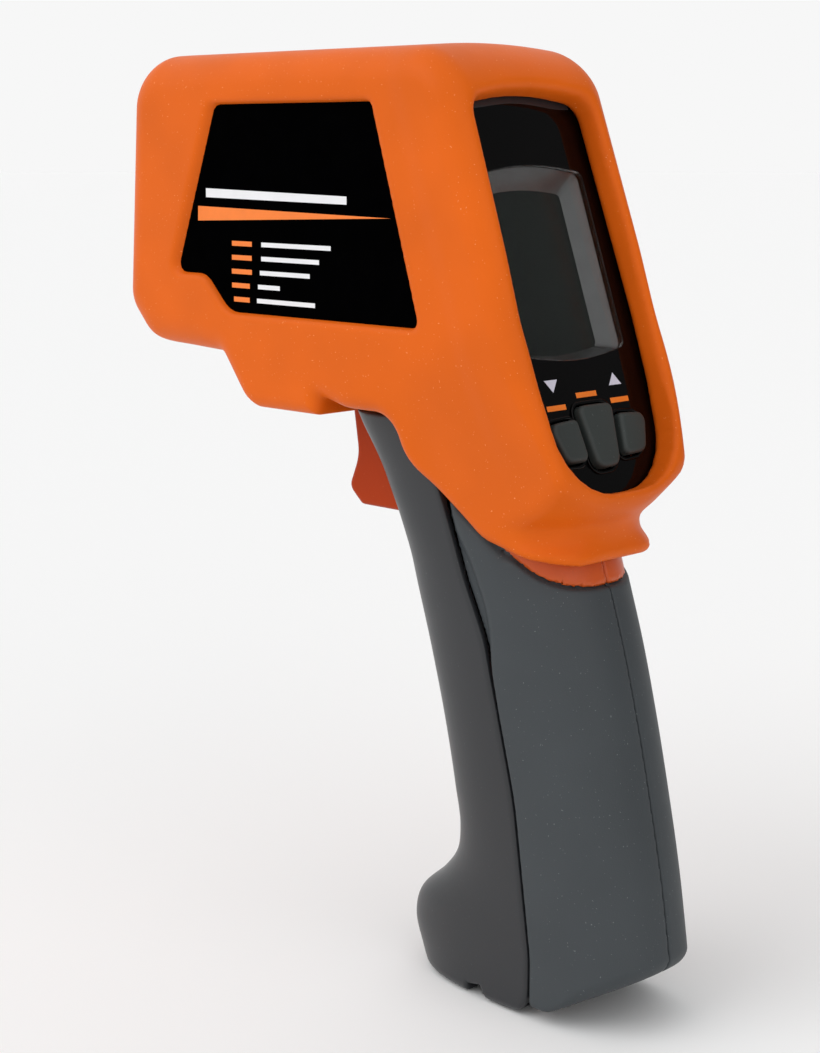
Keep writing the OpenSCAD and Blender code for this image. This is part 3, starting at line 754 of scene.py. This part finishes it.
def grip(side):
    """A side grip and the thin flange in the hollow beside the door."""
    def form(x, y, z):
        body = handle(x, y, z)
        soft = (0.55 + 2.2 * step(72, 84, z) * step(-42, -38, x)
                + 2.4 * step(26, 12, z) * step(-54, -62, x))
        skin = both(body, GRIP_SIDE(x, z) + 0.15, soft)
        skin = both(skin, -np.maximum(body + GRIP_T, sole(x, z) + GRIP_T), 0.25)
        flange = np.maximum(np.maximum(body + 1.35, -(body + GRIP_T)), SHELL_SIDE(x, z) + 0.15)
        flange = np.maximum(flange, np.maximum(np.abs(z - 91) - 15, GRIP_SIDE(x, z) - 4))
        return both(np.minimum(skin, flange), 0.14 - side * y, 0.35)
    return form


for side, name in ((1, "left"), (-1, "right")):
    low, high = sorted((0, side * 17.5))
    field_object(name + "_grip_skin", grip(side), (-77, low, 2), (-20, high, 111), 0.6,
                 grip_rubber, "instrument", name + "_grip")


def door(x, y, z):
    """The battery door: the hollow front of the handle, with two cheeks for its pin."""
    body = handle(x, y, z)
    form = both(both(body, -z, 2.4), DOOR_SIDE(x, z), 0.6)
    cavity = np.maximum(np.maximum(body + DOOR_T, DOOR_T - z), z - 123)
    slot_wall = block(x, y, z, (-60, -SLOT_HALF - 1.7, 98.7), (20, SLOT_HALF + 1.7, 130))
    slot_wall = np.maximum(slot_wall, -20 - x)
    form = np.maximum(form, -np.maximum(cavity, -slot_wall))
    cheek = rod_y(x, np.abs(y), z, DOOR_PIVOT, CHEEK_R, PIVOT_HALF, 15.1)
    form = np.minimum(form, np.maximum(cheek, body + 0.3))
    form = without(form, block(x, y, z, (-27, -SLOT_HALF, 100.6), (20, SLOT_HALF, 130)), 0.6)
    ear_room = block(x, np.abs(y), z, (-52, EAR_Y - 2.4, -1), (-43.6, EAR_Y + 2.4, 12))
    form = np.maximum(form, -ear_room)
    form = np.maximum(form, -rod_y(x, y, z, DOOR_PIVOT, PIN_HOLE, -15.2, 15.2))
    return without(form, NOTCH(x, z), 0.4)


field_object("door_cover", door, (-52, -17.5, -0.5), (16, 17.5, 126), 0.65, door_plastic, "door",
             "battery_door", limit=190000)

# ---------------------------------------------------------------- trigger and keys

def trigger(x, y, z):
    """The trigger's blade, its hub and the arm that reaches back to the switch."""
    arm = step(-3.2, -4.2, x)
    form = both(TRIGGER_SIDE(x, z), np.abs(y) - (TRIGGER_HALF - 2.5 * arm), 1.1)
    hub = rod_y(x, y, z, TRIGGER_PIVOT, HUB_R, -TRIGGER_HALF, TRIGGER_HALF)
    form = np.minimum(form, hub)
    form = np.maximum(form, -block(x, y, z, (-21, -8, 137.4), (-1.6, 8, 145)))
    return np.maximum(form, -rod_y(x, y, z, TRIGGER_PIVOT, PIN_HOLE, -10, 10))


field_object("trigger_blade", trigger, (-20, -7.5, 101), (17, 7.5, 141), 0.5, trigger_plastic,
             "trigger_lever", "trigger")

KEY_TOP = -3.5


def key(outline, mirror, middle_y):
    """A key's cap, slightly domed across."""
    def form(x, y, z):
        up, out = on_face(x, z)
        along = outline(up, mirror * y)
        crown = out - KEY_TOP + 0.012 * (y - middle_y) ** 2
        return both(both(along, crown, 0.9), -13.9 - out, 0.2)
    return form


def key_box(u0, u1, y0, y1):
    """The box that holds a key, in the drawing frame."""
    corners = np.array([(FACE[0] + u * UP_SLOPE[0] + o * OUTWARD[0],
                         FACE[1] + u * UP_SLOPE[1] + o * OUTWARD[1])
                        for u in (u0, u1) for o in (-14, -3)])
    return ((corners[:, 0].min(), y0, corners[:, 1].min()),
            (corners[:, 0].max(), y1, corners[:, 1].max()))


for name, outline, mirror, middle_y, y0, y1, body in (
        ("key_mode", KEY_MODE, 1, 0, -6, 6, "mode_button"),
        ("key_right", KEY_SIDE, 1, -10, -16, -5, "right_button"),
        ("key_left", KEY_SIDE, -1, 10, 5, 16, "left_button")):
    low, high = key_box(-77, -62, y0, y1)
    field_object(name + "_cap", key(outline, mirror, middle_y), low, high, 0.35, key_rubber, body,
                 name)

# ---------------------------------------------------------------- the display's lens and bezel

FACE_M = face_matrix()
KEY_ROOM = 0.35
LENS_TOP = -LENS_DEPTH
LENS_LOW = LENS_TOP - LENS_T
left_side_key = KEY_SIDE.points * [1, -1]
key_loops = [grown(loop, KEY_ROOM) for loop in (KEY_MODE.points, KEY_SIDE.points, left_side_key)]
window = LCD_WINDOW.points
plate("lens_print", [grown(OPENING.points, 1.3), window] + key_loops, FACE_M, LENS_LOW, LENS_TOP,
      0.12, lens_black, "instrument", "display_lens")
plate("lens_clear", [grown(window, -0.03)], FACE_M, LENS_LOW + 0.6, LENS_TOP - 0.02, 0.02,
      clear_window, "instrument")
for name, loop in zip(("rim_mode", "rim_right", "rim_left"), key_loops):
    plate(name, [grown(loop, 0.75), loop], FACE_M, LENS_TOP - 0.1, LENS_TOP + 0.4, 0.22,
          lens_black, "instrument")

PRINT_T = 0.03


def face_print(name, loop, material):
    """A mark printed on the lens."""
    return plate(name, [np.array(loop, float)], FACE_M, LENS_TOP - 0.01, LENS_TOP + PRINT_T, 0.0,
                 material, "instrument")


ARROW_U = -58.1
for name, side in (("arrow_down", 1), ("arrow_up", -1)):
    foot_u, tip_u, middle = ARROW_U + side * 1.3, ARROW_U - side * 1.3, side * 9.8
    face_print(name, [(foot_u, middle - 2), (foot_u, middle + 2), (tip_u, middle)], print_arrow)
for name, u, y, half in (("mark_mode", -60.6, 0, 3.2), ("mark_left", -62.6, 10, 2.9),
                         ("mark_right", -62.6, -10, 2.9)):
    face_print(name, bar(u - 0.55, u + 0.55, y - half, y + half), print_orange)
across = np.linspace(-16.8, 16.8, 25)
arch = 4.4 - 3.6 * (across / 18.2) ** 2
crescent = list(zip(arch, across)) + list(zip((arch - 2.9 + 2.2 * (across / 17.5) ** 4)[::-1],
                                              across[::-1]))
face_print("lens_arch", crescent, lens_edge)

# The bezel's walls slope in from the window to the glass of the display.
bezel_rings = [(window, -7.42), (GLASS_WINDOW.points, -11.55), (grown(window, 1.6), -11.55),
               (grown(window, 1.6), -7.42)]
count = len(window)
ring_points = []
for loop, out in bezel_rings:
    ring_points += [(FACE[0] + u * UP_SLOPE[0] + out * OUTWARD[0], y,
                     FACE[1] + u * UP_SLOPE[1] + out * OUTWARD[1]) for u, y in loop]
ring_faces = [(r * count + i, r * count + (i + 1) % count,
               (r + 1) % 4 * count + (i + 1) % count, (r + 1) % 4 * count + i)
              for r in range(4) for i in range(count)]
bezel = mesh_object("bezel_walls", ring_points, ring_faces, bezel_grey)
bezel.data.set_sharp_from_angle(angle=math.radians(20))
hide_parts("lcd_bezel")
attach(bezel, "instrument")

# ---------------------------------------------------------------- the labels

LABEL_Y = HALF_W - BOOT_T
for side, name in ((1, "left"), (-1, "right")):
    matrix = side_matrix(side)
    flip = np.array([-side, 1])
    plate(name + "_sticker", [grown(WINDOW.points, -0.35) * flip], matrix, LABEL_Y + 0.03,
          LABEL_Y + 0.62, 0.05, label_black, "instrument", name + "_label")

    def side_print(label, loop, material):
        """A mark printed on this side's label."""
        plate(name + "_" + label, [np.array(loop, float) * flip], matrix, LABEL_Y + 0.61,
              LABEL_Y + 0.61 + PRINT_T, 0.0, material, "instrument")

    side_print("stripe", [(49.2, 168.0), (49.3, 164.7), (-13.2, 166.8)], print_orange)
    side_print("title", [(46.3, 172.0), (46.3, 170.0), (0, 169.3), (0, 171.0)], print_white)
    for row, (x0, x1, x2, x3, z) in enumerate((
            (37.5, 30.7, 27.5, 5.0, 160.0), (37.6, 30.8, 27.6, 8.7, 156.9),
            (37.7, 30.8, 28.1, 11.7, 153.8), (37.7, 31.6, 28.8, 21.5, 150.7),
            (37.1, 31.7, 29.2, 10.1, 147.6))):
        side_print("key_%d" % row, bar(x1, x0, z - 0.55, z + 0.55), print_orange)
        side_print("line_%d" % row, bar(x3, x2, z - 0.5, z + 0.5), print_white)

# ---------------------------------------------------------------- floor, light and camera

DIM_SIDE = (-0.66, -0.69, 0.29)
FLOOR_RADIUS = 12
floor_look = Look("floor", (0.90, 0.90, 0.90), 0.9, Specular_IOR_Level=0.05)
floor_look.bump(floor_look.noise(3, 2), 0.0005, 0.1)
bpy.ops.mesh.primitive_circle_add(vertices=96, radius=FLOOR_RADIUS, fill_type="NGON",
                                  location=(0, 0, 0))
floor = bpy.context.object
floor.name = "floor"
floor.data.materials.append(floor_look.material)

world = bpy.data.worlds.new("studio")
bpy.context.scene.world = world
world.use_nodes = True
sky = world.node_tree
sky.nodes["Background"].inputs["Color"].default_value = (1, 1, 1, 1)
# Even all round, but dimmer on the side that the display's lens reflects.
seen = sky.nodes.new("ShaderNodeTexCoord")
towards_dark = sky.nodes.new("ShaderNodeVectorMath")
towards_dark.operation = "DOT_PRODUCT"
towards_dark.inputs[1].default_value = Vector(DIM_SIDE).normalized()
level = sky.nodes.new("ShaderNodeMapRange")
level.interpolation_type = "SMOOTHSTEP"
for socket, value in (("From Min", 0.50), ("From Max", 0.97), ("To Min", 0.93), ("To Max", 0.22)):
    level.inputs[socket].default_value = value
sky.links.new(seen.outputs["Generated"], towards_dark.inputs[0])
sky.links.new(towards_dark.outputs["Value"], level.inputs["Value"])
sky.links.new(level.outputs["Result"], sky.nodes["Background"].inputs["Strength"])


def soft_sun(name, towards, spread, power):
    """A wide, even light that shines from the direction towards."""
    light = bpy.data.lights.new(name, "SUN")
    light.angle = math.radians(spread)
    light.energy = power
    obj = bpy.data.objects.new(name, light)
    bpy.context.scene.collection.objects.link(obj)
    obj.rotation_euler = Vector(towards).to_track_quat("Z", "Y").to_euler()
    return obj


soft_sun("key_light", (0.35, 0.8, 0.75), 50, 0.75)
soft_sun("rear_light", (-0.9, 0.15, 0.6), 60, 0.35)

bpy.context.scene.view_settings.view_transform = "Standard"

SENSOR = 36
FOCAL_PIXELS = 1980
FRAME_PIXELS = 1053
camera_data = bpy.data.cameras.new("camera")
camera_data.sensor_fit = "VERTICAL"
camera_data.sensor_height = SENSOR
camera_data.lens = SENSOR * FOCAL_PIXELS / FRAME_PIXELS
camera = bpy.data.objects.new("camera", camera_data)
bpy.context.scene.collection.objects.link(camera)
camera.location = (-0.3087, 0.3109, 0.1823)
aim = Vector((0.6941, -0.6941, -0.1908))
camera.rotation_euler = aim.to_track_quat("-Z", "Y").to_euler()
bpy.context.scene.camera = camera
